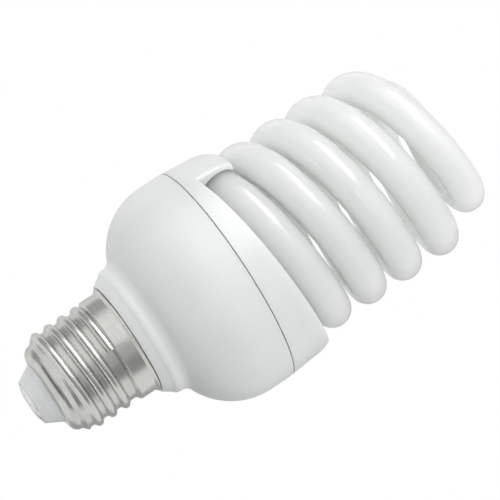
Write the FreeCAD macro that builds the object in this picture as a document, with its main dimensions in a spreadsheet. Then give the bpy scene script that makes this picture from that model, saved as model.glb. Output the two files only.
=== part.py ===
import FreeCAD, Part
import math
import os
import re
import Sketcher

# Spiral energy saving lamp with an E27 screw cap, in millimetres.
# +Z runs from the cap to the tube, the origin is the tip of the centre contact on the lamp's axis.

doc = FreeCAD.newDocument("SpiralLamp")
sheet = doc.addObject("Spreadsheet::Sheet", "Sizes")

# alias, value, what it sets
drivingSizes = [
    ("contactFlatRadius", 3.2, "flat middle of the centre contact"),
    ("contactRadius", 4.95, "rim of the centre contact"),
    ("contactRise", 0.65, "height of the contact's rim above its flat"),
    ("contactEdge", 0.45, "thickness of the contact's rim"),
    ("capFit", 0.1, "clearance between the insulator and the metal round it"),
    ("insulatorTipRadius", 5.65, "tip of the insulator cone"),
    ("insulatorTop", 7.6, "inner face of the insulator"),
    ("wireHoleRadius", 1.0, "hole in the insulator for the live wire"),
    ("shellBottom", 4.75, "lower lip of the screw shell"),
    ("shellShoulderHeight", 7.2, "height of that shoulder"),
    ("shellWall", 0.45, "sheet of the screw shell"),
    ("shellLip", 2.0, "rounded lower edge of the shell, across"),
    ("shellLipRise", 0.25, "rise of that edge at its inner end"),
    ("shellArc", 2.35, "arc of that edge in section"),
    ("shoulderSlope", 1.1, "slope from the shoulder to the thread's root"),
    ("barrelSlope", 0.9, "slope from the thread's root to the barrel"),
    ("sheetShift", 0.2, "shift of the sheet's inner face on those slopes"),
    ("threadPitch", 3.629, "rise of the round thread in one turn"),
    ("threadArc", 1.025, "arc of crest and root"),
    ("threadDepth", 1.03, "depth of the round thread"),
    ("threadStart", 9.45, "height of the first crest, at the -X side"),
    ("threadTurns", 3.25, "turns of the thread"),
    ("barrelRadius", 13.15, "plain barrel above the thread"),
    ("crestInset", 0.05, "crest of the round thread inside the barrel"),
    ("shoulderInset", 1.9, "shell below the first turn, inside the crest"),
    ("insulatorStep", 3.45, "shell's shoulder over the insulator's neck"),
    ("barrelBottom", 22.3, "lower end of the plain barrel"),
    ("shellTop", 26.9, "upper rim of the screw shell"),
    ("rimHeight", 0.8, "flared rim of the shell"),
    ("rimFlare", 0.7, "reach of that rim outside the barrel"),
    ("rimEdge", 0.2, "edge of that rim"),
    ("rimGap", 0.2, "gap between the shell's rim and the collar"),
    ("neckFit", 0.2, "clearance of the housing's neck in the shell"),
    ("neckBottom", 14.0, "lower end of the housing's neck"),
    ("neckThin", 0.6, "what the neck's wall is thinner by"),
    ("collarChamfer", 2.1, "height of the collar's sloped foot"),
    ("collarFlat", 1.25, "flat foot of the collar outside the barrel"),
    ("collarRound", 0.75, "rounding over the collar's sloped foot, across"),
    ("collarRoundRise", 1.5, "rise of that rounding"),
    ("collarRoundArc", 1.9, "arc of that rounding"),
    ("collarStep", 3.45, "collar over the barrel"),
    ("collarLength", 1.754, "upright part of the collar"),
    ("collarFillet", 2.6, "hollow curve between collar and bowl"),
    ("bowlArc", 16.7, "arc of the bowl in section"),
    ("housingWall", 1.5, "wall of the two moulded halves"),
    ("skirtHeight", 5.75, "upright part of the lower half"),
    ("partingGap", 0.18, "dark line between the two halves"),
    ("partingBevel", 0.25, "bevel of the edges at that line"),
    ("spigotHeight", 0.9, "inner rim that locates the cover"),
    ("spigotWall", 1.1, "thickness of that rim"),
    ("spigotFit", 0.2, "clearance of that rim in the cover"),
    ("spigotFoot", 1.4, "foot of that rim below the parting line, and its slope"),
    ("ribThickness", 1.4, "ribs that carry the board"),
    ("ribDepth", 3.6, "reach of a rib from the wall"),
    ("ribHeight", 8.0, "height of a rib"),
    ("coverDraft", 0.65, "narrowing of the cover up to its shoulder"),
    ("coverMargin", 3.05, "foot of the cover outside the coil of the tube"),
    ("coverInset", 0.06, "foot of the cover inside the lower half"),
    ("coverRise", 7.35, "upright part of the cover"),
    ("spindleRise", 4.6, "middle of the cover above its shoulder"),
    ("spindleMargin", 4.25, "middle of the cover inside the coil of the tube"),
    ("shoulderArc", 8.0, "arc of the shoulder in section"),
    ("rampFit", 0.6, "clearance between a ramp and the tube on it"),
    ("tunnelFit", 0.5, "clearance of the tube in its mouth"),
    ("hoodTurn", 19.0, "angle that the hood over each mouth reaches further on its outer side"),
    ("mouthRound", 0.7, "rounding of the outer edge of each mouth"),
    ("tubeRadius", 4.5, "glass tube"),
    ("bridgeTubeRadius", 4.1, "glass tube where the arms join"),
    ("coilRadius", 20.25, "centre line of the coil"),
    ("coilLead", 20.3, "rise of one arm in one turn"),
    ("mouthRise", 0.4, "centre line of the first arm above the shoulder, at its mouth"),
    ("mouthAngle", -160.0, "where the first arm leaves the cover, from +X"),
    ("hiddenTurn", 60.0, "angle of each arm inside the cover"),
    ("hiddenDrop", 1.3, "extra fall of the hidden end"),
    ("armTurn", 820.0, "angle of each arm from its mouth to the bridge"),
    ("lastTurn", 300.0, "end of each arm that is drawn out further"),
    ("lastLead", 21.6, "rise of that end in one turn"),
    ("endRound", 2.0, "rounding of the tube's sealed ends"),
    ("cementTurn", 16.0, "angle covered by the cement at each end"),
    ("cementWall", 1.3, "thickness of the cement"),
    ("boardThickness", 1.6, "circuit board"),
    ("boardFit", 1.96, "circuit board inside the housing's wall"),
    ("boardDrop", 4.65, "component face of the board below the parting line"),
    ("leadRadius", 0.35, "leads of the components"),
    ("leadSlim", 0.05, "radius that a lying lead is thinner by"),
    ("leadFit", 0.12, "clearance of a lead in its hole"),
    ("leadProud", 0.9, "leads above the board"),
    ("seatGap", 0.3, "components below the board's face"),
    ("capacitorRadius", 5.0, "electrolytic capacitor"),
    ("capacitorLength", 18.5, "electrolytic capacitor"),
    ("chokeWidth", 13.0, "lamp choke along Y"),
    ("chokeDepth", 6.0, "lamp choke along X"),
    ("chokeHeight", 12.4, "both ferrite halves"),
    ("chokeLegRadius", 2.2, "middle leg of the ferrite halves"),
    ("chokeYoke", 2.3, "outer legs and back of the ferrite halves"),
    ("bobbinWall", 0.6, "bobbin"),
    ("filterRadius", 3.6, "flanges of the filter choke's drum"),
    ("filterHeight", 9.0, "drum of the filter choke"),
    ("filterFlange", 1.3, "flanges of that drum"),
    ("filterStemRadius", 1.6, "stem of that drum"),
    ("ringRadius", 4.6, "feedback ring, outside"),
    ("ringBore", 2.6, "feedback ring, inside"),
    ("ringHeight", 3.4, "feedback ring"),
    ("windingWire", 0.4, "radius of the winding wire"),
    ("transistorWidth", 4.8, "transistor"),
    ("transistorDepth", 3.7, "transistor"),
    ("transistorHeight", 4.9, "transistor"),
    ("transistorStandOff", 2.5, "transistor below the board"),
    ("transistorPitch", 1.9, "spacing of its legs"),
    ("diodeRadius", 1.35, "rectifier diode"),
    ("diodeLength", 4.8, "rectifier diode"),
    ("diodeSpan", 8.0, "spacing of its leads"),
    ("filmThickness", 4.6, "film capacitor"),
    ("filmWidth", 10.5, "film capacitor"),
    ("filmHeight", 8.6, "film capacitor"),
    ("filmPitch", 7.5, "spacing of its leads"),
    ("filmRound", 0.7, "rounding of its edges"),
    ("discRadius", 3.2, "thermistor"),
    ("discThickness", 2.4, "thermistor"),
    ("postSide", 1.0, "square posts for the tube's lead wires"),
    ("postFoot", 1.2, "foot of a post below the board"),
    ("postRise", 5.0, "posts above the board"),
    ("postCollar", 1.8, "collar at that foot"),
    ("postTurn", 17.0, "angle from a tube end to its posts"),
    ("postPitch", 3.4, "spacing of the two posts of one end"),
    ("electrodeRadius", 0.3, "lead wires of the tube"),
    ("wireRadius", 0.75, "insulated wires to the cap"),
    ("neutralOffset", 4.2, "distance of the neutral wire from the axis"),
    ("neutralHeight", 11.6, "height where the neutral wire meets the shell"),
    ("wireBend", 2.0, "bend of the neutral wire"),
    ("capacitorX", 4.0, "place of the electrolytic capacitor"),
    ("capacitorY", 6.0, "place of the electrolytic capacitor"),
    ("capacitorPitch", 5.0, "spacing of its leads"),
    ("chokeInset", 13.4, "lamp choke from the board's edge"),
    ("filterInset", 9.4, "filter choke from the board's edge"),
    ("filmInset", 7.4, "resonant capacitor from the board's edge"),
    ("rimInset", 5.6, "small components from the board's edge"),
    ("filterX", -4.0, "place of the filter choke"),
    ("ringX", 4.5, "place of the feedback ring"),
    ("ringY", -6.5, "place of the feedback ring"),
    ("ringDrop", 1.6, "feedback ring below the board"),
    ("diodeAngle", 36.0, "first rectifier diode, from +X"),
    ("diodeStep", 14.0, "angle between the rectifier diodes"),
    ("transistorAngle", -35.0, "first transistor"),
    ("transistorStep", 28.0, "angle between the transistors"),
    ("fuseAngle", 16.0, "fuse resistor"),
    ("fuseRadius", 1.6, "fuse resistor"),
    ("triggerAngle", 232.0, "trigger diode"),
    ("triggerRadius", 0.95, "trigger diode"),
    ("triggerLength", 3.6, "trigger diode"),
    ("resistorAngle", 133.0, "first resistor"),
    ("resistorStep", 12.0, "angle between the resistors"),
    ("resistorRadius", 1.0, "resistor"),
    ("resistorLength", 5.6, "resistor"),
    ("thermistorAngle", 218.0, "thermistor"),
    ("filmX", -3.5, "place of the resonant capacitor"),
    ("couplingAngle", 180.0, "coupling capacitor"),
    ("couplingScale", 0.8, "coupling capacitor against the resonant one"),
]

# alias, formula, what follows from the sizes above
derivedSizes = [
    ("threadCrestRadius", "=barrelRadius - crestInset", "crest of the round thread"),
    ("shellShoulderRadius", "=threadCrestRadius - shoulderInset", "shell just below the first turn"),
    ("insulatorNeckRadius", "=shellShoulderRadius - insulatorStep", "insulator where it leaves the shell"),
    ("coverRadius", "=coilRadius + tubeRadius + coverMargin", "foot of the cover"),
    ("housingRadius", "=coverRadius + coverInset", "largest radius of the housing"),
    ("spindleRadius", "=coilRadius - tubeRadius - spindleMargin", "plain middle of the cover"),
    ("collarRadius", "=barrelRadius + collarStep", "collar above the cap"),
    ("bowlTop", "=shellTop + rimGap + collarChamfer + collarLength"
     " + sqrt((bowlArc + collarFillet)^2"
     " - (collarRadius + collarFillet - housingRadius + bowlArc)^2)", "height where the bowl becomes upright"),
    ("partingHeight", "=bowlTop + skirtHeight", "upper edge of the lower half"),
    ("coverShoulder", "=partingHeight + coverRise", "height where the shoulder begins"),
    ("spindleTop", "=coverShoulder + spindleRise", "height of that middle"),
    ("mouthHeight", "=coverShoulder + mouthRise", "height of its centre line there"),
    ("boardRadius", "=housingRadius - housingWall - boardFit", "circuit board"),
    ("boardBottom", "=partingHeight - boardDrop", "component face of the board"),
    ("postTop", "=boardBottom + boardThickness + postRise", "upper end of those posts"),
    ("rimPlace", "=boardRadius - rimInset", "distance of the small components from the axis"),
    ("chokeX", "=chokeInset - boardRadius", "place of the lamp choke"),
    ("filterY", "=boardRadius - filterInset", "place of the filter choke"),
    ("filmY", "=filmInset - boardRadius", "place of the resonant capacitor"),
]

for row, (alias, value, note) in enumerate(drivingSizes + derivedSizes, start=1):
    sheet.set(f"A{row}", note)
    sheet.set(f"B{row}", str(value))
    sheet.setAlias(f"B{row}", alias)
doc.recompute()


def amount(formula):
    """The value of a formula written with the sheet's names."""
    return float(sheet.evalExpression(formula))


def linked(formula):
    names = {alias for alias, value, note in drivingSizes + derivedSizes}
    return re.sub(r"[A-Za-z]\w*", lambda word: f"Sizes.{word[0]}" if word[0] in names else word[0], formula)


def bind(thing, **formulas):
    for name, formula in formulas.items():
        thing.setExpression(name.replace("__", "."), linked(formula))


def place(thing, x="0", y="0", z="0"):
    bind(thing, Placement__Base__x=x, Placement__Base__y=y, Placement__Base__z=z)
    return thing


def polar(radius, degrees, height):
    angle = math.radians(degrees)
    return FreeCAD.Vector(radius * math.cos(angle), radius * math.sin(angle), height)


# Outlines in the half plane through the axis: each corner is (radius, height, bend of the side that follows),
# a bend being None or (radius of the arc, 1 where it turns left and -1 where it turns right).

def drawOutline(sketch, corners):
    spots = [FreeCAD.Vector(amount(x), amount(y), 0) for x, y, bend in corners]
    count = len(corners)
    starts = []
    ends = []
    for index, (x, y, bend) in enumerate(corners):
        here = spots[index]
        there = spots[(index + 1) % count]
        if bend is None:
            sketch.addGeometry(Part.LineSegment(here, there), False)
            starts.append(1)
            ends.append(2)
            continue
        radius = amount(bend[0])
        side = bend[1]
        chord = there - here
        across = FreeCAD.Vector(-chord.y, chord.x, 0).normalize()
        centre = (here + there) * 0.5 + across * side * math.sqrt(radius**2 - (chord.Length / 2) ** 2)
        first, last = (here, there) if side > 0 else (there, here)
        angles = [math.atan2(p.y - centre.y, p.x - centre.x) for p in (first, last)]
        circle = Part.Circle(centre, FreeCAD.Vector(0, 0, 1), radius)
        sketch.addGeometry(Part.ArcOfCircle(circle, angles[0], angles[1]), False)
        starts.append(1 if side > 0 else 2)
        ends.append(2 if side > 0 else 1)
    for index, (x, y, bend) in enumerate(corners):
        after = (index + 1) % count
        sketch.addConstraint(Sketcher.Constraint("Coincident", index, ends[index], after, starts[after]))
        for kind, axis, value, formula in (
            ("DistanceX", -2, spots[index].x, x),
            ("DistanceY", -1, spots[index].y, y),
        ):
            if abs(value) < 1e-9:
                sketch.addConstraint(Sketcher.Constraint("PointOnObject", index, starts[index], axis))
                continue
            number = sketch.addConstraint(Sketcher.Constraint(kind, -1, 1, index, starts[index], value))
            sketch.setExpression(f"Constraints[{number}]", linked(formula))
        if bend is not None:
            number = sketch.addConstraint(Sketcher.Constraint("Radius", index, amount(bend[0])))
            sketch.setExpression(f"Constraints[{number}]", linked(bend[0]))


def newBody(label):
    body = doc.addObject("PartDesign::Body", label)
    body.Label = label
    return body


def newSketch(body, name, role="XZ_Plane"):
    sketch = body.newObject("Sketcher::SketchObject", name)
    plane = [item for item in body.Origin.OriginFeatures if item.Role == role][0]
    sketch.AttachmentSupport = [(plane, "")]
    sketch.MapMode = "FlatFace"
    return sketch


def addTurned(body, name, corners, kind="Revolution"):
    sketch = newSketch(body, name + "Outline")
    drawOutline(sketch, corners)
    turned = body.newObject("PartDesign::" + kind, name)
    turned.Profile = sketch
    turned.ReferenceAxis = (sketch, ["V_Axis"])
    turned.Angle = 360
    return turned


def turnedBody(label, corners):
    body = newBody(label)
    addTurned(body, label + "Turned", corners)
    return body


def box(name, length, width, height, x="0", y="0", z="0"):
    """A block that is centred on (x, y) and stands on z."""
    block = doc.addObject("Part::Box", name)
    bind(block, Length=length, Width=width, Height=height)
    return place(block, f"{x} - ({length}) / 2", f"{y} - ({width}) / 2", z)


def rod(name, radius, height, x="0", y="0", z="0", along=None):
    """A round rod that stands on z, or lies centred on (x, y, z) along X or Y."""
    cylinder = doc.addObject("Part::Cylinder", name)
    bind(cylinder, Radius=radius, Height=height)
    if along == "X":
        cylinder.Placement.Rotation = FreeCAD.Rotation(FreeCAD.Vector(0, 1, 0), 90)
        return place(cylinder, f"{x} - ({height}) / 2", y, z)
    if along == "Y":
        cylinder.Placement.Rotation = FreeCAD.Rotation(FreeCAD.Vector(1, 0, 0), -90)
        return place(cylinder, x, f"{y} - ({height}) / 2", z)
    return place(cylinder, x, y, z)


def joined(name, things):
    fusion = doc.addObject("Part::MultiFuse", name)
    fusion.Shapes = things
    return fusion


def without(name, base, tool):
    difference = doc.addObject("Part::Cut", name)
    difference.Base = base
    difference.Tool = tool
    return difference


def solidPiece(label, shape):
    """A piece whose form comes from a formula: a sweep along arcs or a helix."""
    piece = doc.addObject("Part::Feature", label)
    piece.Shape = shape
    return piece


boardTop = "boardBottom + boardThickness"
leadTop = "boardBottom + boardThickness + leadProud"
seat = "boardBottom - seatGap"
boardHoles = []


def centreContact():
    return turnedBody("centre_contact", [
        ("0", "0", None),
        ("contactFlatRadius", "0", ("contactRadius", 1)),
        ("contactRadius", "contactRise", None),
        ("contactRadius", "contactRise + contactEdge", None),
        ("0", "contactRise + contactEdge", None),
    ])


def capInsulator():
    seatHeight = "contactRise + contactEdge"
    lipRadius = "shellShoulderRadius - shellWall"
    return turnedBody("cap_insulator", [
        ("wireHoleRadius", seatHeight, None),
        ("contactRadius + capFit", seatHeight, None),
        ("contactRadius + capFit", "contactRise", None),
        ("insulatorTipRadius - 2 * capFit", "contactRise", None),
        ("insulatorTipRadius", "contactRise + 2 * capFit", None),
        ("insulatorNeckRadius", "shellBottom - capFit", None),
        ("insulatorNeckRadius", "shellBottom + shellWall + 2 * capFit", None),
        (lipRadius + " - 1.8", "shellBottom + shellWall + 3 * capFit", None),
        (lipRadius + " - 3 * capFit", "shellShoulderHeight", None),
        (lipRadius + " - 3 * capFit", "insulatorTop", None),
        ("wireHoleRadius", "insulatorTop", None),
    ])


def screwShell():
    root = "(threadCrestRadius - threadDepth)"
    body = newBody("screw_shell")
    addTurned(body, "shellWallTurned", [
        ("insulatorNeckRadius + capFit", "shellBottom", None),
        ("shellShoulderRadius - shellLip", "shellBottom + shellLipRise", ("shellArc", 1)),
        ("shellShoulderRadius", "shellShoulderHeight", None),
        (root, "shellShoulderHeight + shoulderSlope", None),
        (root, "barrelBottom - barrelSlope", None),
        ("barrelRadius", "barrelBottom", None),
        ("barrelRadius", "shellTop - rimHeight", None),
        ("barrelRadius + rimFlare", "shellTop - rimEdge", None),
        ("barrelRadius + rimFlare", "shellTop", None),
        ("barrelRadius - shellWall", "shellTop", None),
        ("barrelRadius - shellWall", "barrelBottom + sheetShift", None),
        (root + " - shellWall", "barrelBottom - barrelSlope + sheetShift", None),
        (root + " - shellWall", "shellShoulderHeight + shoulderSlope + sheetShift", None),
        ("shellShoulderRadius - shellWall", "shellShoulderHeight + sheetShift", None),
        ("shellShoulderRadius - shellWall", "shellShoulderHeight", ("shellArc - shellWall", -1)),
        ("shellShoulderRadius - shellLip", "shellBottom + shellLipRise + shellWall", None),
        ("insulatorNeckRadius + capFit", "shellBottom + shellWall", None),
    ])
    # one turn of the round thread: a crest arc between two root arcs that meet it at a tangent
    crest = "threadStart - threadPitch / 2"
    flank = "threadPitch / 4"
    flankRadius = "threadCrestRadius - threadArc + sqrt(threadArc^2 - threadPitch^2 / 16)"
    footRadius = root + " + 0.05"
    foot = ("threadPitch / 2 - sqrt(threadArc^2 - (threadCrestRadius - threadArc"
            " + 2 * sqrt(threadArc^2 - threadPitch^2 / 16) - " + "(" + footRadius + "))^2)")
    ridge = newSketch(body, "threadRidgeOutline")
    drawOutline(ridge, [
        (root + " - 0.25", f"{crest} - ({foot})", None),
        (footRadius, f"{crest} - ({foot})", ("threadArc", -1)),
        (flankRadius, f"{crest} - {flank}", ("threadArc", 1)),
        (flankRadius, f"{crest} + {flank}", ("threadArc", -1)),
        (footRadius, f"{crest} + ({foot})", None),
        (root + " - 0.25", f"{crest} + ({foot})", None),
    ])
    thread = body.newObject("PartDesign::AdditiveHelix", "thread")
    thread.Profile = ridge
    thread.ReferenceAxis = (ridge, ["V_Axis"])
    thread.Mode = 1
    bind(thread, Pitch="threadPitch", Turns="threadTurns + 0.5")
    # the first half turn fades into the shoulder
    addTurned(body, "threadLeadIn", [
        ("shellShoulderRadius + 0.05", "shellShoulderHeight - 1.6", None),
        ("threadCrestRadius + 2", "shellShoulderHeight - 1.6", None),
        ("threadCrestRadius + 2", "threadStart - 0.1", None),
        ("threadCrestRadius + 0.1", "threadStart - 0.1", None),
        ("shellShoulderRadius + 0.05", "shellShoulderHeight - 0.05", None),
    ], "Groove")
    # the last half turn fades into the barrel, and its foot stays out of the bore
    addTurned(body, "threadLeadOut", [
        ("0", "barrelBottom - barrelSlope + sheetShift", None),
        (root + " - shellWall", "barrelBottom - barrelSlope + sheetShift", None),
        ("barrelRadius - shellWall", "barrelBottom + sheetShift", None),
        ("barrelRadius - shellWall", "shellTop + 1", None),
        ("0", "shellTop + 1", None),
    ], "Groove")
    return body


def bowlRadius(wallPart, height):
    """Radius of the bowl's arc at a height, a part of the wall in from its outer face."""
    return (f"(housingRadius - bowlArc + sqrt((bowlArc - {wallPart} * housingWall)^2"
            f" - (bowlTop - ({height}))^2))")


def lowerHousing():
    inner = "(housingRadius - housingWall)"
    neckRadius = "(threadCrestRadius - threadDepth - shellWall - neckFit)"
    barrelNeck = "(barrelRadius - shellWall - neckFit)"
    collarFoot = "(shellTop + rimGap)"
    # the hollow curve touches the upright collar and the bowl's arc
    curveAcross = "(collarRadius + collarFillet - housingRadius + bowlArc)"
    curveDown = f"sqrt((bowlArc + collarFillet)^2 - {curveAcross}^2)"
    share = "bowlArc / (bowlArc + collarFillet)"
    collarInside = "(collarRadius - housingWall)"
    body = newBody("lower_housing")
    addTurned(body, "lowerHousingTurned", [
        (f"{neckRadius} - housingWall + neckThin", "neckBottom", None),
        (neckRadius, "neckBottom", None),
        (neckRadius, "barrelBottom - 0.5", None),
        (barrelNeck, "barrelBottom + 0.5", None),
        (barrelNeck, collarFoot, None),
        ("barrelRadius + collarFlat", collarFoot, None),
        ("collarRadius - collarRound", f"{collarFoot} + collarChamfer", ("collarRoundArc", 1)),
        ("collarRadius", f"{collarFoot} + collarChamfer + collarRoundRise", None),
        ("collarRadius", f"bowlTop - {curveDown}", ("collarFillet", -1)),
        (f"housingRadius - bowlArc + {curveAcross} * {share}", f"bowlTop - {curveDown} * {share}",
         ("bowlArc", 1)),
        ("housingRadius", "bowlTop", None),
        ("housingRadius", "partingHeight - partingBevel", None),
        ("housingRadius - partingBevel", "partingHeight", None),
        ("coverRadius - housingWall - spigotFit", "partingHeight", None),
        ("coverRadius - housingWall - spigotFit", "partingHeight + spigotHeight", None),
        ("coverRadius - housingWall - spigotFit - spigotWall", "partingHeight + spigotHeight", None),
        ("coverRadius - housingWall - spigotFit - spigotWall", "partingHeight - spigotFoot", None),
        (inner, "partingHeight - 2 * spigotFoot", None),
        (inner, "bowlTop", ("bowlArc - housingWall", -1)),
        (collarInside, f"bowlTop - sqrt((bowlArc - housingWall)^2"
         f" - ({collarInside} - housingRadius + bowlArc)^2)", None),
        (collarInside, f"{collarFoot} + collarChamfer + collarRoundRise", None),
        (f"{neckRadius} - housingWall + neckThin", f"{collarFoot} + 0.8", None),
    ])
    # ribs that carry the board
    ribSketch = newSketch(body, "ribOutline")
    drawOutline(ribSketch, [
        (f"{inner} - ribDepth", "boardBottom", None),
        (f"{inner} - ribDepth", "boardBottom - ribHeight / 2", None),
        (bowlRadius(0.5, "boardBottom - ribHeight"), "boardBottom - ribHeight", None),
        (f"{inner} + housingWall / 2", "bowlTop", None),
        (f"{inner} + housingWall / 2", "boardBottom", None),
    ])
    rib = body.newObject("PartDesign::Pad", "rib")
    rib.Profile = ribSketch
    rib.Midplane = True
    bind(rib, Length="ribThickness")
    ribs = body.newObject("PartDesign::PolarPattern", "ribs")
    ribs.Originals = [rib]
    ribs.Axis = (ribSketch, ["V_Axis"])
    ribs.Angle = 360
    ribs.Occurrences = 4
    body.Tip = ribs
    return body


# The tube's two arms are one double coil: the second is the first one turned half round.

def armHeight(angle):
    start = amount("mouthAngle")
    lead = amount("coilLead")
    height = amount("mouthHeight") + lead * (angle - start) / 360
    if angle < start:
        height -= amount("hiddenDrop") * ((start - angle) / amount("hiddenTurn")) ** 2
    drawn = angle - start - amount("armTurn - lastTurn")
    if drawn > 0:
        height += amount("lastLead - coilLead") * drawn / 360
    return height


def armCorners(first, last, step):
    """Corners whose tangent arcs follow the coil from the first angle to the last."""
    count = max(1, round((last - first) / step))
    step = (last - first) / count
    radius = amount("coilRadius") / math.cos(math.radians(step / 2))
    angles = [first + (number - 0.5) * step for number in range(count + 2)]
    return [polar(radius, angle, armHeight(angle)) for angle in angles]


def bridgeCorners(step):
    """Half of the S that joins the arms: a half circle from the coil to the axis, levelling off."""
    leaving = amount("mouthAngle + armTurn")
    half = amount("coilRadius") / 2
    rise = amount("lastLead") / 4
    centre = polar(half, leaving, armHeight(leaving))
    corners = []
    for number in range(round(180 / step)):
        turn = (number + 0.5) * step
        done = turn / 180
        corners.append(centre + polar(half / math.cos(math.radians(step / 2)), leaving + turn,
                                      rise * (done - done**2 / 2)))
    return corners


def halfRound(point):
    return FreeCAD.Vector(-point.x, -point.y, point.z)


def bendsRound(corners):
    """Tangent arcs round the corners, from the middle of the first run to the middle of the last,
    as one list of edges for each corner."""
    here = (corners[0] + corners[1]) * 0.5
    bends = []
    for before, corner, after in zip(corners, corners[1:], corners[2:]):
        arriving = corner - before
        leaving = after - corner
        reach = min(arriving.Length, leaving.Length) / 2
        arriving.normalize()
        leaving.normalize()
        turn = arriving.getAngle(leaving)
        start = corner - arriving * reach
        end = corner + leaving * reach
        inward = (leaving - arriving).normalize()
        middle = corner + inward * reach * (1 / math.sin(turn / 2) - 1 / math.tan(turn / 2))
        bend = []
        if here.distanceToPoint(start) > 1e-3:
            bend.append(Part.LineSegment(here, start).toShape())
            here = start
        bend.append(Part.Arc(here, middle, end).toShape())
        bends.append(bend)
        here = end
    final = (corners[-2] + corners[-1]) * 0.5
    if here.distanceToPoint(final) > 1e-3:
        bends[-1].append(Part.LineSegment(here, final).toShape())
    return bends


def pathOf(bends):
    return Part.Wire([edge for bend in bends for edge in bend])


def ringAt(edge, radius, atEnd=False):
    """A circle square to an edge at its start or its end."""
    spot = edge.LastParameter if atEnd else edge.FirstParameter
    return Part.Wire(Part.Circle(edge.valueAt(spot), edge.tangentAt(spot), radius).toShape())


def pipeAlong(bends, radius):
    return pathOf(bends).makePipe(Part.Face(ringAt(bends[0][0], radius)))


def turnedHalf(shape):
    other = shape.copy()
    other.rotate(FreeCAD.Vector(0, 0, 0), FreeCAD.Vector(0, 0, 1), 180)
    return other


coilStep = 30.0
bridgeStep = 45.0
taperBends = 5
rampLap = 5.0


def spiralTube():
    tubeRadius = amount("tubeRadius")
    bridgeRadius = amount("bridgeTubeRadius")
    mouth = amount("mouthAngle")
    hiddenEnd = amount("mouthAngle - hiddenTurn")
    leaving = amount("mouthAngle + armTurn")
    coil = armCorners(hiddenEnd, mouth, coilStep)[:-1] + armCorners(mouth, leaving, coilStep)[1:-1]
    bridge = bridgeCorners(bridgeStep)
    half = coil + bridge
    # the last run is shared by both arms and its middle lies on the axis
    bends = bendsRound(half + [halfRound(half[-1])])
    drawn = len(coil) - 1 - taperBends
    joint = len(coil) - 1
    arm = pipeAlong(bends[:drawn], tubeRadius)
    end = [face for face in arm.Faces if face.Surface.TypeId == "Part::GeomPlane"][0]
    if end.CenterOfMass.distanceToPoint(bends[0][0].valueAt(bends[0][0].FirstParameter)) > 1:
        end = [face for face in arm.Faces if face.Surface.TypeId == "Part::GeomPlane"][1]
    arm = arm.makeFillet(amount("endRound"), end.Edges)
    narrowing = pathOf(bends[drawn:joint])
    taper = narrowing.makePipeShell([ringAt(bends[drawn][0], tubeRadius),
                                     ringAt(bends[joint - 1][-1], bridgeRadius, True)], True, False)
    crossing = pipeAlong(bends[joint:], bridgeRadius)
    tube = arm.multiFuse([taper, crossing, turnedHalf(crossing), turnedHalf(taper), turnedHalf(arm)])
    return solidPiece("spiral_tube", tube)


def turnedShape(corners):
    """A solid turned from straight sides between (radius, height) corners, one of which may carry an arc."""
    edges = []
    count = len(corners)
    for index, (radius, height, middle) in enumerate(corners):
        here = FreeCAD.Vector(radius, 0, height)
        following = corners[(index + 1) % count]
        there = FreeCAD.Vector(following[0], 0, following[1])
        if middle is None:
            edges.append(Part.LineSegment(here, there).toShape())
        else:
            edges.append(Part.Arc(here, FreeCAD.Vector(middle[0], 0, middle[1]), there).toShape())
    outline = Part.Face(Part.Wire(edges))
    return outline.revolve(FreeCAD.Vector(0, 0, 0), FreeCAD.Vector(0, 0, 1), 360)


def coverDome(inset, bottom):
    """The cover's outer form, or its inside when it is inset by the wall."""
    foot = amount("coverRadius") - inset
    shoulderRadius = amount("coverRadius - coverDraft") - inset
    shoulder = amount("coverShoulder")
    arc = amount("shoulderArc") - inset
    middle = (shoulderRadius - arc + arc * math.cos(math.pi / 4), shoulder + arc * math.sin(math.pi / 4))
    return turnedShape([
        (0, bottom, None),
        (foot, bottom, None),
        (shoulderRadius, shoulder, middle),
        (shoulderRadius - arc, shoulder + arc, None),
        (0, shoulder + arc, None),
    ])


def hoodBlock(start, below):
    """The block over a mouth that stays uncut: its face runs from the tube's inner side at the mouth
    to a place further round on the cover's foot."""
    near = polar(amount("coilRadius - tubeRadius"), start, 0)
    further = polar(amount("coverRadius"), start + amount("hoodTurn"), 0)
    outside = polar(amount("2 * coverRadius"), start - amount("hoodTurn"), 0)
    block = Part.Face(Part.makePolygon([near, near + (further - near) * 2, outside, near]))
    block.translate(FreeCAD.Vector(0, 0, amount("mouthHeight") - 2 * below))
    return block.extrude(FreeCAD.Vector(0, 0, below + amount("coilLead") / 2))


def aboveRamp(start, below, spare):
    """All that lies above half a turn of the ramp, which follows the tube's centre line from below it.
    It laps over the start of the other ramp, where all is cut away already."""
    radius = amount("coilRadius")
    inner = amount("spindleRadius") / 2 - spare
    outer = amount("coverRadius") + 4 + spare
    high = amount("shoulderArc") * 3 + spare
    lead = amount("coilLead")
    helix = Part.Wire(Part.makeHelix(lead, lead * (0.5 + rampLap / 360), radius))
    section = Part.makePolygon([FreeCAD.Vector(x, 0, z - below) for x, z in
                                ((inner, 0), (outer, 0), (outer, high), (inner, high), (inner, 0))])
    space = helix.makePipeShell([section], True, True)
    space.rotate(FreeCAD.Vector(0, 0, 0), FreeCAD.Vector(0, 0, 1), start)
    angle = start - amount("mouthAngle")
    space.translate(FreeCAD.Vector(0, 0, amount("mouthHeight") + lead * angle / 360))
    return space


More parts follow.
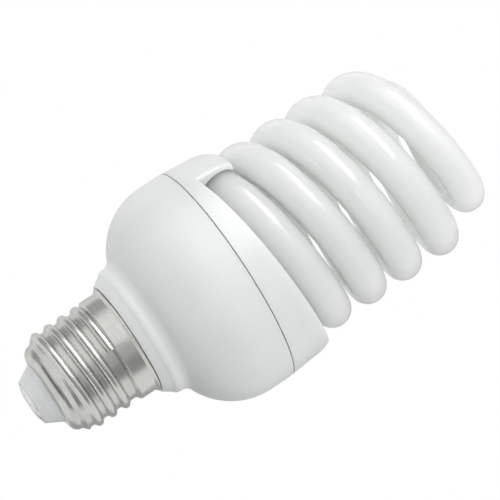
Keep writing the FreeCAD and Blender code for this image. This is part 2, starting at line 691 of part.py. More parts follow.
def ramped(dome, start, below, spindle, spindleTop, foot, hoods=()):
    """A dome cut down to the two ramps, with the spindle standing in their middle."""
    spaces = [aboveRamp(start, below, 0), turnedHalf(aboveRamp(start, below, 1))]
    if hoods:
        spaces = [space.cut(hood) for space, hood in zip(spaces, hoods)]
    spaces.append(Part.makeCylinder(spindle, amount("shoulderArc") * 3, FreeCAD.Vector(0, 0, spindleTop)))
    middle = Part.makeCylinder(spindle, spindleTop - foot, FreeCAD.Vector(0, 0, foot))
    middle.rotate(FreeCAD.Vector(0, 0, 0), FreeCAD.Vector(0, 0, 1), start + 90)
    return dome.cut(spaces).fuse(middle).removeSplitter()


def hiddenBends(further=0):
    """The first arm's bends inside the cover, as far as its mouth or some degrees further."""
    mouth = amount("mouthAngle")
    return bendsRound(armCorners(mouth - amount("hiddenTurn"), mouth + further, coilStep))


def upperCover():
    wall = amount("housingWall")
    mouth = amount("mouthAngle")
    rampBelow = amount("tubeRadius + rampFit")
    spindle = amount("spindleRadius")
    spindleTop = amount("spindleTop")
    foot = amount("partingHeight + partingGap")
    hood = hoodBlock(mouth, rampBelow)
    body = ramped(coverDome(0, foot), mouth, rampBelow, spindle, spindleTop, foot, (hood, turnedHalf(hood)))
    mouthFaces = [face for face in body.Faces if face.Surface.TypeId == "Part::GeomPlane"
                  and abs(face.normalAt(0, 0).z) < 0.01]
    outerEdges = [edge for face in mouthFaces for edge in face.Edges
                  if edge.BoundBox.ZLength > 2
                  and math.hypot(edge.CenterOfMass.x, edge.CenterOfMass.y) > amount("coilRadius + tubeRadius")]
    body = body.makeFillet(amount("mouthRound"), outerEdges)
    # the hollow follows the ramps, one wall below them and one wall behind the mouths
    turnBack = math.degrees(wall / amount("coilRadius"))
    low = foot - 1
    hollow = ramped(coverDome(wall, low), mouth - turnBack, rampBelow + wall, spindle - wall, spindleTop - wall, low)
    # two bends more than the hidden part of the arm, so that the tunnel leaves the hood
    tunnel = pipeAlong(hiddenBends(2 * coilStep), amount("tubeRadius + tunnelFit"))
    cover = body.cut(hollow).cut([tunnel, turnedHalf(tunnel)])
    return solidPiece("upper_cover", cover)


def tubeCement(label, cover, tube, half):
    """Cement that bonds one end of the tube to the cover behind the mouth."""
    sleeve = pipeAlong(hiddenBends()[1:], amount("tubeRadius + cementWall"))
    lump = half(sleeve).cut([cover.Shape, tube.Shape])
    return solidPiece(label, max(lump.Solids, key=lambda solid: solid.Volume))


def component(label, things, x, y, turn="0"):
    """A component made round the axis, then put in its place on the board."""
    whole = joined(label, things) if len(things) > 1 else things[0]
    whole.Label = label
    place(whole, x, y)
    whole.Placement.Rotation = FreeCAD.Rotation(FreeCAD.Vector(0, 0, 1), 0)
    bind(whole, Placement__Rotation__Angle=turn)
    return whole


def atRim(angle, reach="rimPlace"):
    return f"({reach}) * cos({angle})", f"({reach}) * sin({angle})"


def leads(label, spots, low, x, y, turn="0"):
    """Straight leads up through the board, and their holes."""
    rods = []
    for number, (across, along) in enumerate(spots):
        rods.append(rod(f"{label}_lead{number}", "leadRadius", f"{leadTop} - ({low})", across, along, low))
        boardHoles.append((f"({x}) + ({across}) * cos({turn}) - ({along}) * sin({turn})",
                           f"({y}) + ({across}) * sin({turn}) + ({along}) * cos({turn})", "leadRadius + leadFit"))
    return rods


def electrolyticCapacitor():
    label = "electrolytic_capacitor"
    bottom = f"{seat} - capacitorLength"
    can = turnedBody(label + "_can", [
        ("0", bottom, None),
        ("capacitorRadius - 0.5", bottom, ("0.5", 1)),
        ("capacitorRadius", bottom + " + 0.5", None),
        ("capacitorRadius", seat + " - 3.1", None),
        ("capacitorRadius - 0.45", seat + " - 2.5", None),
        ("capacitorRadius", seat + " - 1.9", None),
        ("capacitorRadius", seat + " - 0.3", None),
        ("capacitorRadius - 0.3", seat, None),
        ("0", seat, None),
    ])
    pins = leads(label, [("capacitorPitch / 2", "0"), ("-capacitorPitch / 2", "0")], seat + " - 0.2",
                 "capacitorX", "capacitorY")
    return component(label, [can] + pins, "capacitorX", "capacitorY")


def chokeCore(label, high):
    """One E-shaped ferrite half, its three legs towards the other half."""
    middle = f"{seat} - chokeHeight / 2"
    back = f"{seat} - chokeYoke" if high else f"{seat} - chokeHeight"
    low = middle if high else f"{seat} - chokeHeight"
    things = [box(label + "_back", "chokeDepth", "chokeWidth", "chokeYoke", z=back)]
    for number, offset in enumerate(("chokeWidth / 2 - chokeYoke / 2", "-chokeWidth / 2 + chokeYoke / 2")):
        things.append(box(f"{label}_leg{number}", "chokeDepth", "chokeYoke", "chokeHeight / 2", y=offset, z=low))
    things.append(box(label + "_middle", "chokeDepth", "2 * chokeLegRadius", "chokeHeight / 2", z=low))
    return component(label, things, "chokeX", "0")


def chokeBobbin():
    label = "choke_bobbin"
    low = f"({seat} - chokeHeight + chokeYoke + 0.1)"
    height = "(chokeHeight - 2 * chokeYoke - 0.2)"
    across = "chokeDepth + 0.3"
    along = "2 * chokeLegRadius + 0.3"
    flangeAcross = "chokeDepth + 4.6"
    flangeAlong = "chokeWidth - 2 * chokeYoke - 0.3"
    hub = box(label + "_hub", f"{across} + 2 * bobbinWall", f"{along} + 2 * bobbinWall", height, z=low)
    lower = box(label + "_lower", flangeAcross, flangeAlong, "bobbinWall", z=low)
    upper = box(label + "_upper", flangeAcross, flangeAlong, "bobbinWall", z=f"{low} + {height} - bobbinWall")
    hole = box(label + "_hole", across, along, f"{height} + 2", z=f"{low} - 1")
    spool = without(label + "_spool", joined(label + "_solid", [hub, lower, upper]), hole)
    spots = [(f"{sideX} * (chokeDepth / 2 + 1.5)", f"{sideY} * (chokeWidth / 2 - chokeYoke - 1.0)")
             for sideX in (1, -1) for sideY in (1, -1)]
    pins = leads(label, spots, f"{low} + {height} - bobbinWall", "chokeX", "0")
    return component(label, [spool] + pins, "chokeX", "0")


def chokeWinding():
    label = "choke_winding"
    low = f"({seat} - chokeHeight + chokeYoke + 0.15 + bobbinWall)"
    height = "(chokeHeight - 2 * chokeYoke - 0.3 - 2 * bobbinWall)"
    hubAcross = "chokeDepth + 0.35 + 2 * bobbinWall"
    hubAlong = "2 * chokeLegRadius + 0.35 + 2 * bobbinWall"
    outer = box(label + "_outer", f"{hubAcross} + 2.4", "chokeWidth - 2 * chokeYoke - 0.6", height, z=low)
    inner = box(label + "_inner", hubAcross, hubAlong, f"{height} + 2", z=f"{low} - 1")
    return component(label, [without(label + "_coil", outer, inner)], "chokeX", "0")


def filterChoke():
    bottom = f"{seat} - filterHeight"
    drum = turnedBody("filter_drum", [
        ("0", bottom, None),
        ("filterRadius", bottom, None),
        ("filterRadius", bottom + " + filterFlange", None),
        ("filterStemRadius", bottom + " + filterFlange", None),
        ("filterStemRadius", seat + " - filterFlange", None),
        ("filterRadius", seat + " - filterFlange", None),
        ("filterRadius", seat, None),
        ("0", seat, None),
    ])
    pins = leads("filter_choke_core", [("filterRadius - 1", "0"), ("1 - filterRadius", "0")],
                 seat + " - 0.5", "filterX", "filterY")
    core = component("filter_choke_core", [drum] + pins, "filterX", "filterY")
    wound = turnedBody("filter_wound", [
        ("filterStemRadius + 0.02", bottom + " + filterFlange + 0.05", None),
        ("filterRadius - 0.5", bottom + " + filterFlange + 0.05", None),
        ("filterRadius - 0.5", seat + " - filterFlange - 0.05", None),
        ("filterStemRadius + 0.02", seat + " - filterFlange - 0.05", None),
    ])
    return [core, component("filter_choke_winding", [wound], "filterX", "filterY")]


def feedbackRing():
    low = "(boardBottom - ringDrop - ringHeight)"
    outer = rod("ring_outer", "ringRadius", "ringHeight", z=low)
    bore = rod("ring_bore", "ringBore", "ringHeight + 2", z=f"{low} - 1")
    ring = component("feedback_ring", [without("ring_round", outer, bore)], "ringX", "ringY")
    pieces = [ring]
    for number in (1, 2, 3):
        label = f"feedback_winding_{number}"
        turn = f"{number * 120 - 60}"
        sector = rod(label + "_sector", "ringRadius + 2 * windingWire", "ringHeight + 4 * windingWire",
                     z=f"{low} - 2 * windingWire")
        sector.Angle = 50
        eye = rod(label + "_eye", "ringBore - 2 * windingWire", "ringHeight + 4", z=f"{low} - 2")
        section = without(label + "_section", sector, eye)
        room = without(label + "_room", rod(label + "_roomOuter", "ringRadius + 0.02", "ringHeight + 0.04",
                                            z=f"{low} - 0.02"),
                       rod(label + "_roomBore", "ringBore - 0.02", "ringHeight + 2", z=f"{low} - 1"))
        wound = without(label + "_wound", section, room)
        spots = [(f"(ringRadius + windingWire) * cos({angle})", f"(ringRadius + windingWire) * sin({angle})")
                 for angle in (8, 42)]
        pins = leads(label, spots, f"{low} + ringHeight + 0.1", "ringX", "ringY", turn)
        pieces.append(component(label, [wound] + pins, "ringX", "ringY", turn))
    return pieces


def transistor(number):
    label = f"transistor_{number}"
    turn = f"(transistorAngle + {number - 1} * transistorStep)"
    low = "(boardBottom - transistorStandOff - transistorHeight)"
    barrel = rod(label + "_barrel", "transistorWidth / 2", "transistorHeight", z=low)
    flat = box(label + "_flat", "transistorDepth", "transistorWidth", "transistorHeight + 2",
               x="transistorWidth / 2 - transistorDepth / 2", z=f"{low} - 1")
    case = doc.addObject("Part::Common", label + "_case")
    case.Base = barrel
    case.Tool = flat
    x, y = atRim(turn, "rimPlace - 3")
    pins = leads(label, [("0", "transistorPitch"), ("0", "0"), ("0", "-transistorPitch")],
                 f"{low} + transistorHeight - 0.5", x, y, turn)
    return component(label, [case] + pins, x, y, turn)


def axialPart(label, radius, length, span, angle, shoulder="0"):
    """A part that lies under the board with a lead bent up at each end."""
    centre = f"({seat} - ({radius}))"
    things = [rod(label + "_body", radius, length, z=centre, along="X"),
              rod(label + "_wire", "leadRadius - leadSlim", span, z=centre, along="X")]
    if shoulder != "0":
        for number, side in enumerate((1, -1)):
            things.append(rod(f"{label}_cap{number}", f"{radius} + {shoulder}", f"({length}) / 5",
                              x=f"{side} * ({length}) * 2 / 5", z=centre, along="X"))
    x, y = atRim(angle)
    pins = leads(label, [(f"({span}) / 2", "0"), (f"-({span}) / 2", "0")], f"({centre} - leadRadius)", x, y, angle)
    return component(label, things + pins, x, y, angle)


def filmCapacitor(label, scale, x, y, turn="0"):
    block = box(label + "_block", f"filmWidth * {scale}", f"filmThickness * {scale}", f"filmHeight * {scale}",
                z=f"{seat} - filmHeight * {scale}")
    case = doc.addObject("Part::Fillet", label + "_case")
    case.Base = block
    doc.recompute()
    upright = [number for number, edge in enumerate(block.Shape.Edges, start=1)
               if edge.BoundBox.ZMin < block.Shape.BoundBox.ZMax - 0.01]
    case.Edges = [(number, amount("filmRound"), amount("filmRound")) for number in upright]
    pins = leads(label, [(f"filmPitch * {scale} / 2", "0"), (f"-filmPitch * {scale} / 2", "0")],
                 seat + " - 0.2", x, y, turn)
    return component(label, [case] + pins, x, y, turn)


def thermistor():
    label = "thermistor"
    centre = f"({seat} - discRadius)"
    disc = rod(label + "_disc", "discRadius", "discThickness", z=centre, along="Y")
    x, y = atRim("thermistorAngle", "rimPlace - 1")
    pins = leads(label, [("discRadius - 0.9", "0"), ("0.9 - discRadius", "0")], centre, x, y, "thermistorAngle")
    return component(label, [disc] + pins, x, y, "thermistorAngle")


def postAngle(end):
    return f"(mouthAngle - hiddenTurn - postTurn + {180 * end})"


def postReach(number):
    return f"(coilRadius - 1 + postPitch * {number - 0.5})"


def wrapPost(end, number):
    label = f"wrap_pin_{end * 2 + number + 1}"
    turn = postAngle(end)
    x, y = atRim(turn, postReach(number))
    post = box(label + "_post", "postSide", "postSide", "postTop - boardBottom + postFoot", z="boardBottom - postFoot")
    collar = box(label + "_collar", "postCollar", "postCollar", "postFoot / 2", z="boardBottom - postFoot")
    boardHoles.append((x, y, "postSide * 0.75 + leadFit"))
    return component(label, [post, collar], x, y, turn)


def electrodeLead(end, number, tube):
    """A lead wire from the sealed end of an arm to the side of its post."""
    radius = amount("electrodeRadius")
    mouth = amount("mouthAngle")
    bends = hiddenBends()
    start = bends[0][0].valueAt(bends[0][0].FirstParameter)
    outwards = bends[0][0].tangentAt(bends[0][0].FirstParameter) * -1
    radial = FreeCAD.Vector(start.x, start.y, 0).normalize()
    side = number - 0.5
    start = start + radial * side * 2.4
    turn = amount(postAngle(0))
    post = polar(amount(postReach(number)), turn, amount("postTop") - 1)
    towards = polar(1, turn + 90, 0)
    near = post + towards * (amount("postSide") / 2 + radius)
    corners = [start, start + outwards * 2.2, near + FreeCAD.Vector(0, 0, 0.6), near - FreeCAD.Vector(0, 0, 2.2)]
    wire = roundWire(corners, radius, 0.8)
    if end:
        wire = turnedHalf(wire)
    return solidPiece(f"electrode_lead_{end * 2 + number + 1}", wire)


def roundWire(corners, radius, bend):
    """A wire in straight runs with one arc at each corner, each arc as large as its runs allow up to a limit."""
    edges = []
    here = corners[0]
    for before, corner, after in zip(corners, corners[1:], corners[2:]):
        arriving = corner - before
        leaving = after - corner
        shorter = min(arriving.Length, leaving.Length)
        arriving.normalize()
        leaving.normalize()
        turn = arriving.getAngle(leaving)
        reach = min(bend * math.tan(turn / 2), shorter * 0.45)
        start = corner - arriving * reach
        end = corner + leaving * reach
        inward = (leaving - arriving).normalize()
        middle = corner + inward * reach * (1 / math.sin(turn / 2) - 1 / math.tan(turn / 2))
        edges.append(Part.LineSegment(here, start).toShape())
        edges.append(Part.Arc(start, middle, end).toShape())
        here = end
    edges.append(Part.LineSegment(here, corners[-1]).toShape())
    return Part.Wire(edges).makePipe(Part.Face(ringAt(edges[0], radius)))


def liveWire():
    """From the board down the axis to the centre contact."""
    low = "contactRise + contactEdge"
    boardHoles.append(("0", "0", "wireRadius + leadFit"))
    wire = rod("live_wire", "wireRadius", f"{leadTop} - ({low})", z=low)
    wire.Label = "live_wire"
    return wire


def neutralWire():
    """From the board down the neck, then out below it to the shell."""
    radius = amount("wireRadius")
    across = -amount("neutralOffset")
    reach = -amount("threadCrestRadius - threadDepth - shellWall")
    height = amount("neutralHeight")
    boardHoles.append(("-neutralOffset", "0", "wireRadius + leadFit"))
    wire = roundWire([FreeCAD.Vector(across, 0, amount(leadTop)), FreeCAD.Vector(across, 0, height),
                      FreeCAD.Vector(reach, 0, height)], radius, amount("wireBend"))
    bore = Part.makeCylinder(abs(reach) - 0.02, 4 * radius, FreeCAD.Vector(0, 0, height - 2 * radius))
    upper = Part.makeCylinder(abs(reach) - 0.02, amount("boardBottom"), FreeCAD.Vector(0, 0, height + 1.9 * radius))
    return solidPiece("neutral_wire", wire.common(bore.fuse(upper)))


def circuitBoard():
    plate = rod("board_plate", "boardRadius", "boardThickness", z="boardBottom")
    holes = [rod(f"board_hole{number}", radius, "boardThickness + 2", x, y, "boardBottom - 1")
             for number, (x, y, radius) in enumerate(boardHoles)]
    board = without("circuit_board", plate, joined("board_holes", holes))
    board.Label = "circuit_board"
    return board


def makeLamp():
    pieces = [centreContact(), capInsulator(), screwShell(), lowerHousing()]
    tube = spiralTube()
    cover = upperCover()
    pieces += [tube, cover]
    pieces.append(tubeCement("tube_cement_1", cover, tube, lambda shape: shape))
    pieces.append(tubeCement("tube_cement_2", cover, tube, turnedHalf))
    pieces += [electrolyticCapacitor(), chokeCore("choke_core_lower", False), chokeCore("choke_core_upper", True),
               chokeBobbin(), chokeWinding()]
    pieces += filterChoke() + feedbackRing()
    pieces += [transistor(number) for number in (1, 2)]
    for number in (1, 2, 3, 4):
        pieces.append(axialPart(f"rectifier_diode_{number}", "diodeRadius", "diodeLength", "diodeSpan",
                                f"(diodeAngle + {number - 1} * diodeStep)"))
    pieces.append(axialPart("fuse_resistor", "fuseRadius", "resistorLength", "diodeSpan", "fuseAngle", "0.2"))
    pieces.append(axialPart("trigger_diode", "triggerRadius", "triggerLength", "diodeSpan", "triggerAngle"))
    for number in (1, 2):
        pieces.append(axialPart(f"resistor_{number}", "resistorRadius", "resistorLength", "diodeSpan",
                                f"(resistorAngle + {number - 1} * resistorStep)", "0.2"))
    pieces.append(filmCapacitor("resonant_capacitor", "1", "filmX", "filmY"))
    couplingX, couplingY = atRim("couplingAngle", "rimPlace + 1")
    pieces.append(filmCapacitor("coupling_capacitor", "couplingScale", couplingX, couplingY,
                                "(couplingAngle + 90)"))
    pieces.append(thermistor())
    for end in (0, 1):
        for number in (0, 1):
            pieces.append(wrapPost(end, number))
            pieces.append(electrodeLead(end, number, tube))
    pieces += [liveWire(), neutralWire()]
    pieces.append(circuitBoard())
    return pieces


lamp = makeLamp()
doc.recompute()
failed = [item.Label for item in doc.Objects if "Invalid" in item.State or "Error" in item.State]
failed += [piece.Label for piece in lamp if piece.Shape.isNull() or not piece.Shape.isValid()]
if failed:
    raise RuntimeError(f"not built: {failed}")
os.makedirs("parts", exist_ok=True)
for piece in lamp:
    piece.Shape.exportStep(f"parts/{piece.Label}.step")
    print(piece.Label, round(piece.Shape.Volume, 1), "mm3")
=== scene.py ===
import math

import bpy
from mathutils import Matrix, Vector

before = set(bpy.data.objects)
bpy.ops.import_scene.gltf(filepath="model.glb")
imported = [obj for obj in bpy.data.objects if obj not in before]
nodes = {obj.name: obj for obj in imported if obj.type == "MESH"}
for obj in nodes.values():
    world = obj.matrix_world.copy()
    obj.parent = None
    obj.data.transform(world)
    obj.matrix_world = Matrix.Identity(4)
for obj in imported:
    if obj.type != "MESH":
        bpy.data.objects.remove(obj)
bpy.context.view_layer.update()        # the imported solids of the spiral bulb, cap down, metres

millimetre = 0.001
glassAndPlastic = 1.5    # how strongly glass and plastic bend light
print("solids loaded:", len(nodes))

# the view of the photograph: seen a little from below, leaning to the right
view = {
    "lens": 158.1,
    "sensor": 36.0,
    "place": (-0.00174, -0.50284, -0.03076),
    "right": (0.5499, -0.1522, 0.8212),
    "up": (-0.8352, -0.1002, 0.5407),
    "back": (0.0, -0.9833, -0.1822),
}


def placeCamera():
    camera = bpy.data.cameras.new("photoCamera")
    camera.lens = view["lens"]
    camera.sensor_width = view["sensor"]
    camera.clip_start = 0.01
    camera.clip_end = 20.0
    holder = bpy.data.objects.new("photoCamera", camera)
    bpy.context.scene.collection.objects.link(holder)
    turn = Matrix((view["right"], view["up"], view["back"])).transposed()
    holder.matrix_world = Matrix.Translation(view["place"]) @ turn.to_4x4()
    bpy.context.scene.camera = holder


placeCamera()
print("camera placed")


# small node helpers: a value is either a number, a colour or another node's socket
def put(tree, kind, values=None, **options):
    node = tree.nodes.new(kind)
    for option, value in options.items():
        setattr(node, option, value)
    for socket, value in (values or {}).items():
        if isinstance(value, bpy.types.NodeSocket):
            tree.links.new(value, node.inputs[socket])
        else:
            node.inputs[socket].default_value = value
    return node


def noise(tree, place, size, detail=3.0, stretch=(1, 1, 1)):
    spread = put(tree, "ShaderNodeMapping", {"Vector": place, "Scale": stretch})
    texture = put(tree, "ShaderNodeTexNoise", {
        "Vector": spread.outputs[0], "Scale": 1.0 / size, "Detail": detail, "Roughness": 0.55})
    return texture.outputs["Fac"]


def remap(tree, value, low, high, newLow=0.0, newHigh=1.0):
    return put(tree, "ShaderNodeMapRange", {
        "Value": value, "From Min": low, "From Max": high,
        "To Min": newLow, "To Max": newHigh}).outputs[0]


def mathsOf(tree, operation, first, second=0.0):
    return put(tree, "ShaderNodeMath", {0: first, 1: second}, operation=operation).outputs[0]


def mixColours(tree, share, first, second):
    node = put(tree, "ShaderNodeMix", {0: share}, data_type="RGBA")
    for index, colour in ((6, first), (7, second)):
        if isinstance(colour, bpy.types.NodeSocket):
            tree.links.new(colour, node.inputs[index])
        else:
            node.inputs[index].default_value = (*colour, 1.0)
    return node.outputs[2]


def clouds(tree, place, size, detail, low, high):
    # noise with its contrast stretched, 0 below low and 1 above high
    return remap(tree, noise(tree, place, size, detail), low, high)


def bump(tree, height, depth, below=None):
    values = {"Height": height, "Strength": 1.0, "Distance": depth}
    if below is not None:
        values["Normal"] = below
    return put(tree, "ShaderNodeBump", values).outputs[0]


def heightOf(tree, place):
    # height up the lamp
    return put(tree, "ShaderNodeSeparateXYZ", {0: place}).outputs["Z"]


def acrossOf(tree, place):
    # distance from the lamp's axis
    flat = put(tree, "ShaderNodeMapping", {"Vector": place, "Scale": (1, 1, 0)})
    across = put(tree, "ShaderNodeVectorMath", {0: flat.outputs[0]}, operation="LENGTH")
    return across.outputs["Value"]


def band(tree, value, middle, halfWidth):
    # 1 at the middle, falling to 0 at the half width
    away = mathsOf(tree, "ABSOLUTE", mathsOf(tree, "SUBTRACT", value, middle))
    return remap(tree, away, halfWidth, 0.0)


def turnedLines(tree, place, across, size):
    # fine lines that run round the axis, as on a turned or rolled shell
    spread = put(tree, "ShaderNodeMapping", {"Vector": place, "Scale": (0.04, 0.04, 1)})
    texture = put(tree, "ShaderNodeTexNoise", {
        "Vector": spread.outputs[0], "W": across, "Scale": 1.0 / size, "Detail": 4.0},
        noise_dimensions="4D")
    return texture.outputs["Fac"]


def edges(tree, reach):
    # 1 on sharp outer and inner edges, 0 on plain faces
    rounded = put(tree, "ShaderNodeBevel", {"Radius": reach}, samples=4)
    plain = put(tree, "ShaderNodeNewGeometry")
    facing = put(tree, "ShaderNodeVectorMath", {
        0: rounded.outputs[0], 1: plain.outputs["Normal"]}, operation="DOT_PRODUCT")
    return remap(tree, facing.outputs["Value"], 0.99, 0.80)


def startFinish(name):
    material = bpy.data.materials.new(name)
    material.use_nodes = True
    tree = material.node_tree
    tree.nodes.clear()
    output = put(tree, "ShaderNodeOutputMaterial")
    shader = put(tree, "ShaderNodeBsdfPrincipled")
    tree.links.new(shader.outputs["BSDF"], output.inputs["Surface"])
    place = put(tree, "ShaderNodeTexCoord").outputs["Object"]
    return material, tree, shader, place


def finishWith(tree, shader, colour, roughness, normal, **constants):
    tree.links.new(colour, shader.inputs["Base Color"])
    tree.links.new(roughness, shader.inputs["Roughness"])
    tree.links.new(normal, shader.inputs["Normal"])
    for socket, value in constants.items():
        shader.inputs[socket.replace("_", " ")].default_value = value


def glowFrom(values):
    # light that goes in at the surface and comes out again within the reach
    return {"Subsurface_Weight": values["glow"],
            "Subsurface_Radius": (values["glowReach"],) * 3,
            "Subsurface_Scale": 1.0}


def dress(material, *names):
    for name in names:
        slots = nodes[name].data.materials
        slots.clear()
        slots.append(material)


# white satin plastic of the two moulded halves
housing = {
    "colour": (0.785, 0.807, 0.803),
    "shade": (0.757, 0.780, 0.774),
    "dust": (0.66, 0.67, 0.65),
    "roughness": (0.30, 0.40),
    "shine": 0.6,
    "glow": 0.35,
    "glowReach": 5.0 * millimetre,
    "mottle": 14 * millimetre,
    "grain": 0.35 * millimetre,
    "grainDepth": 0.006 * millimetre,
    "flow": 9 * millimetre,
    "flowDepth": 0.05 * millimetre,
    "partingHeight": 54.25 * millimetre,
    "partingReach": 0.35 * millimetre,
    "speck": 2.5 * millimetre,
    "speckShare": (0.15, 0.6),
}


def housingPlastic():
    material, tree, shader, place = startFinish("housingPlastic")
    mottle = clouds(tree, place, housing["mottle"], 4.0, 0.35, 0.65)
    colour = mixColours(tree, mottle, housing["colour"], housing["shade"])
    seam = band(tree, heightOf(tree, place), housing["partingHeight"], housing["partingReach"])
    speck = noise(tree, place, housing["speck"], 5.0)
    speck = remap(tree, speck, 0.45, 0.65, *housing["speckShare"])
    colour = mixColours(tree, mathsOf(tree, "MULTIPLY", seam, speck), colour, housing["dust"])
    grain = noise(tree, place, housing["grain"])
    flow = noise(tree, place, housing["flow"], 2.0, (1, 1, 0.25))
    rough = remap(tree, mathsOf(tree, "ADD", grain, flow), 0.7, 1.3, *housing["roughness"])
    normal = bump(tree, grain, housing["grainDepth"])
    normal = bump(tree, flow, housing["flowDepth"], normal)
    finishWith(tree, shader, colour, rough, normal, IOR=glassAndPlastic,
               Specular_IOR_Level=housing["shine"], **glowFrom(housing))
    return material


dress(housingPlastic(), "lower_housing", "upper_cover")

# glass tube: a white coating that lets light through, under a glossy skin
tube = {
    "coating": (0.893, 0.940, 0.905),
    "thinCoating": (0.878, 0.928, 0.891),
    "glow": 1.0,
    "glowReach": 34 * millimetre,
    "coatingShine": 0.35,
    "coatingRoughness": (0.42, 0.55),
    "glassShine": 0.85,
    "glassRoughness": 0.06,
    "cloud": 11 * millimetre,
    "powder": 0.5 * millimetre,
    "ripple": 6 * millimetre,
    "rippleDepth": 0.03 * millimetre,
}


def lampGlass():
    material, tree, shader, place = startFinish("lampGlass")
    cloud = clouds(tree, place, tube["cloud"], 5.0, 0.32, 0.68)
    colour = mixColours(tree, cloud, tube["coating"], tube["thinCoating"])
    powder = noise(tree, place, tube["powder"], 4.0)
    rough = remap(tree, powder, 0.3, 0.7, *tube["coatingRoughness"])
    ripple = noise(tree, place, tube["ripple"], 1.0)
    normal = bump(tree, ripple, tube["rippleDepth"])
    finishWith(tree, shader, colour, rough, normal,
               IOR=glassAndPlastic, Specular_IOR_Level=tube["coatingShine"],
               Coat_IOR=glassAndPlastic, Coat_Weight=tube["glassShine"],
               Coat_Roughness=tube["glassRoughness"], **glowFrom(tube))
    tree.links.new(normal, shader.inputs["Coat Normal"])
    return material


dress(lampGlass(), "spiral_tube")

# nickel on the pressed screw shell: bright crests, duller roots, lines round the axis
cap = {
    "colour": (0.60, 0.60, 0.575),
    "dull": (0.40, 0.40, 0.38),
    "bright": (0.76, 0.76, 0.73),
    "roughness": (0.20, 0.34),
    "rootRadius": 12.15 * millimetre,
    "crestRadius": 13.05 * millimetre,
    "stain": 3.2 * millimetre,
    "tarnish": (0.05, 0.45),
    "edgeReach": 0.25 * millimetre,
    "edgeShare": 0.7,
    "lines": 0.16 * millimetre,
    "lineDepth": 0.004 * millimetre,
    "dent": 7 * millimetre,
    "dentDepth": 0.05 * millimetre,
}


def capMetal():
    material, tree, shader, place = startFinish("capMetal")
    across = acrossOf(tree, place)
    lines = turnedLines(tree, place, across, cap["lines"])
    stain = noise(tree, place, cap["stain"], 6.0)
    root = remap(tree, across, cap["crestRadius"], cap["rootRadius"])
    tarnish = mathsOf(tree, "MULTIPLY", root, remap(tree, stain, 0.35, 0.7, *cap["tarnish"]))
    colour = mixColours(tree, tarnish, cap["colour"], cap["dull"])
    rubbed = mathsOf(tree, "MULTIPLY", edges(tree, cap["edgeReach"]), cap["edgeShare"])
    colour = mixColours(tree, rubbed, colour, cap["bright"])
    wear = mathsOf(tree, "ADD", mathsOf(tree, "MULTIPLY", lines, 0.6),
                   mathsOf(tree, "MULTIPLY", stain, 0.4))
    rough = remap(tree, wear, 0.35, 0.65, *cap["roughness"])
    normal = bump(tree, lines, cap["lineDepth"])
    normal = bump(tree, noise(tree, place, cap["dent"], 1.0), cap["dentDepth"], normal)
    finishWith(tree, shader, colour, rough, normal, Metallic=1.0)
    return material


dress(capMetal(), "screw_shell")

# the centre contact: nickel with rub marks and a dull solder bloom
contact = {
    "colour": (0.74, 0.73, 0.70),
    "dull": (0.50, 0.49, 0.47),
    "roughness": (0.16, 0.34),
    "scratch": 0.25 * millimetre,
    "scratchDepth": 0.006 * millimetre,
    "scuff": 0.5 * millimetre,
    "scuffDepth": 0.01 * millimetre,
    "bloom": 1.8 * millimetre,
}


def contactMetal():
    material, tree, shader, place = startFinish("contactMetal")
    scratches = turnedLines(tree, place, acrossOf(tree, place), contact["scratch"])
    scuffs = noise(tree, place, contact["scuff"], 4.0, (0.08, 1, 1))
    bloom = clouds(tree, place, contact["bloom"], 5.0, 0.42, 0.68)
    colour = mixColours(tree, bloom, contact["colour"], contact["dull"])
    rough = remap(tree, mathsOf(tree, "ADD", scuffs, bloom), 0.3, 1.5, *contact["roughness"])
    normal = bump(tree, scratches, contact["scratchDepth"])
    normal = bump(tree, scuffs, contact["scuffDepth"], normal)
    finishWith(tree, shader, colour, rough, normal, Metallic=1.0)
    return material


dress(contactMetal(), "centre_contact")

# moulded insulator between the shell and the contact
insulator = {
    "colour": (0.710, 0.730, 0.730),
    "shade": (0.640, 0.660, 0.665),
    "roughness": (0.22, 0.36),
    "cloud": 2.4 * millimetre,
    "flow": 0.6 * millimetre,
    "flowDepth": 0.012 * millimetre,
}


def insulatorFinish():
    material, tree, shader, place = startFinish("insulatorMoulding")
    cloud = clouds(tree, place, insulator["cloud"], 5.0, 0.35, 0.68)
    colour = mixColours(tree, cloud, insulator["colour"], insulator["shade"])
    flow = turnedLines(tree, place, acrossOf(tree, place), insulator["flow"])
    rough = remap(tree, flow, 0.3, 0.7, *insulator["roughness"])
    normal = bump(tree, flow, insulator["flowDepth"])
    finishWith(tree, shader, colour, rough, normal, IOR=glassAndPlastic)
    return material


dress(insulatorFinish(), "cap_insulator")
print("outer pieces dressed")


